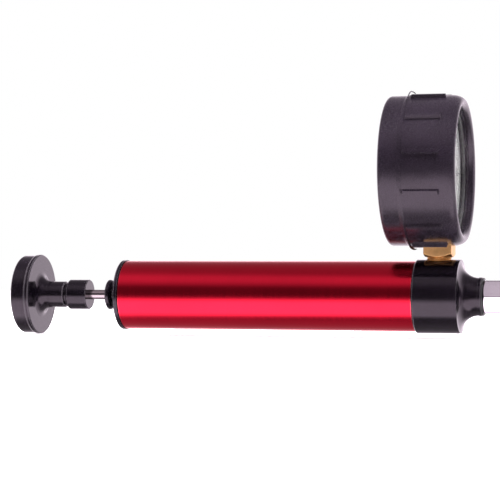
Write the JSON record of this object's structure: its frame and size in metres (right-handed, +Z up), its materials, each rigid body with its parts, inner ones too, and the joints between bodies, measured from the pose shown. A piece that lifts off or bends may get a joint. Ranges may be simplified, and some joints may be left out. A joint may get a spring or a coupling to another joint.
{
  "type": "cooling system pressure tester",
  "caption": "Hand pump with pull knob, tube barrel, check valve head, dial gauge in a rubber boot, and a quick-release outlet coupler for testing radiators.",
  "frame": {"origin": "centre of the outlet coupler's mouth, on the pump's axis", "axes": "+X out of the coupler along the pump's axis, +Z up to the gauge, -Y towards the side that shows the dial's near edge"},
  "size_m": [0.2889, 0.077, 0.1217],
  "materials": {
    "red_anodised": "glossy red anodised tube",
    "black_anodised": "satin black anodised",
    "bright_steel": "ground steel",
    "nickel_plate": "bright nickel plate",
    "brass": "machined brass",
    "boot_rubber": "matte moulded rubber",
    "seal_rubber": "smooth black rubber",
    "case_black": "black painted steel sheet",
    "dial_white": "white printed dial",
    "pointer_black": "matte black",
    "lens_clear": "clear window"
  },
  "bodies": {
    "root": {"barrel": "red_anodised", "end_cap": "black_anodised", "rod_guide": "black_anodised", "head": "black_anodised", "barrel_seal": "seal_rubber", "valve_seat": "brass", "check_spring": "bright_steel", "gauge_socket": "brass", "gauge_case": "case_black", "case_screws": "bright_steel", "bourdon_tube": "brass", "rear_plate": "brass", "front_plate": "brass", "plate_screws": "bright_steel", "plate_pillars": "brass", "dial_posts": "brass", "hairspring": "brass", "dial": "dial_white", "dial_screws": "bright_steel", "pointer_stop": "bright_steel", "lens_gasket": "seal_rubber", "lens": "lens_clear", "bezel": "case_black", "rubber_boot": "boot_rubber", "outlet_washer": "seal_rubber", "outlet_body": "nickel_plate", "socket_seal": "seal_rubber", "sleeve_spring": "bright_steel", "snap_ring": "bright_steel"},
    "piston": {"piston_disc": "bright_steel", "cup_seal": "seal_rubber", "cup_washer": "bright_steel"},
    "plunger": {"rod": "bright_steel", "pull_knob": "black_anodised", "rod_collar": "black_anodised", "piston_nut": "bright_steel"},
    "valve_ball": {"valve_ball": "bright_steel"},
    "pointer": {"pointer": "pointer_black", "pinion": "brass"},
    "sector": {"sector_gear": "brass"},
    "tube_tip": {"tube_tip": "brass", "tip_link": "bright_steel"},
    "sleeve": {"coupler_sleeve": "nickel_plate"},
    "lock_ball_1": {"lock_ball_1": "bright_steel"},
    "lock_ball_2": {"lock_ball_2": "bright_steel"},
    "lock_ball_3": {"lock_ball_3": "bright_steel"},
    "lock_ball_4": {"lock_ball_4": "bright_steel"}
  },
  "joints": [
    {"name": "pump_stroke", "type": "slide", "parent": "root", "child": "piston", "axis": [-1, 0, 0], "range_m": [-0.0102, 0.108]},
    {"name": "knob_spin", "type": "hinge", "parent": "piston", "child": "plunger", "pos_m": [-0.2, 0, 0], "axis": [1, 0, 0], "continuous": true},
    {"name": "valve_lift", "type": "slide", "parent": "root", "child": "valve_ball", "axis": [1, 0, 0], "range_m": [0, 0.0012], "stiffness_N_per_m": 50, "springref_m": -0.004, "deforming": ["check_spring"]},
    {"name": "pointer_turn", "type": "hinge", "parent": "root", "child": "pointer", "pos_m": [-0.0685, 0, 0.0625], "axis": [-1, 0, 0], "range_deg": [0, 270]},
    {"name": "sector_turn", "type": "hinge", "parent": "root", "child": "sector", "pos_m": [-0.0685, 0, 0.049], "axis": [-1, 0, 0], "range_deg": [-33.75, 0]},
    {"name": "tip_shift", "type": "slide", "parent": "root", "child": "tube_tip", "axis": [0, 0.4714, 0.8819], "range_m": [0, 0.00348], "stiffness_N_per_m": 400, "springref_m": -0.0004, "deforming": ["bourdon_tube", "hairspring"]},
    {"name": "sleeve_slide", "type": "slide", "parent": "root", "child": "sleeve", "axis": [-1, 0, 0], "range_m": [0, 0.0045], "stiffness_N_per_m": 600, "springref_m": -0.004, "deforming": ["sleeve_spring"]},
    {"name": "lock_shift_1", "type": "slide", "parent": "root", "child": "lock_ball_1", "axis": [0, 0, 1], "range_m": [0, 0.00075]},
    {"name": "lock_shift_2", "type": "slide", "parent": "root", "child": "lock_ball_2", "axis": [0, -1, 0], "range_m": [0, 0.00075]},
    {"name": "lock_shift_3", "type": "slide", "parent": "root", "child": "lock_ball_3", "axis": [0, 0, -1], "range_m": [0, 0.00075]},
    {"name": "lock_shift_4", "type": "slide", "parent": "root", "child": "lock_ball_4", "axis": [0, 1, 0], "range_m": [0, 0.00075]}
  ],
  "couplings": [
    {"joint": "sector_turn", "follows": "tip_shift", "rad_per_m": -169.11},
    {"joint": "pointer_turn", "follows": "tip_shift", "rad_per_m": 1352.9},
    {"joint": "lock_shift_1", "follows": "sleeve_slide", "ratio": 0.16667},
    {"joint": "lock_shift_2", "follows": "sleeve_slide", "ratio": 0.16667},
    {"joint": "lock_shift_3", "follows": "sleeve_slide", "ratio": 0.16667},
    {"joint": "lock_shift_4", "follows": "sleeve_slide", "ratio": 0.16667}
  ]
}
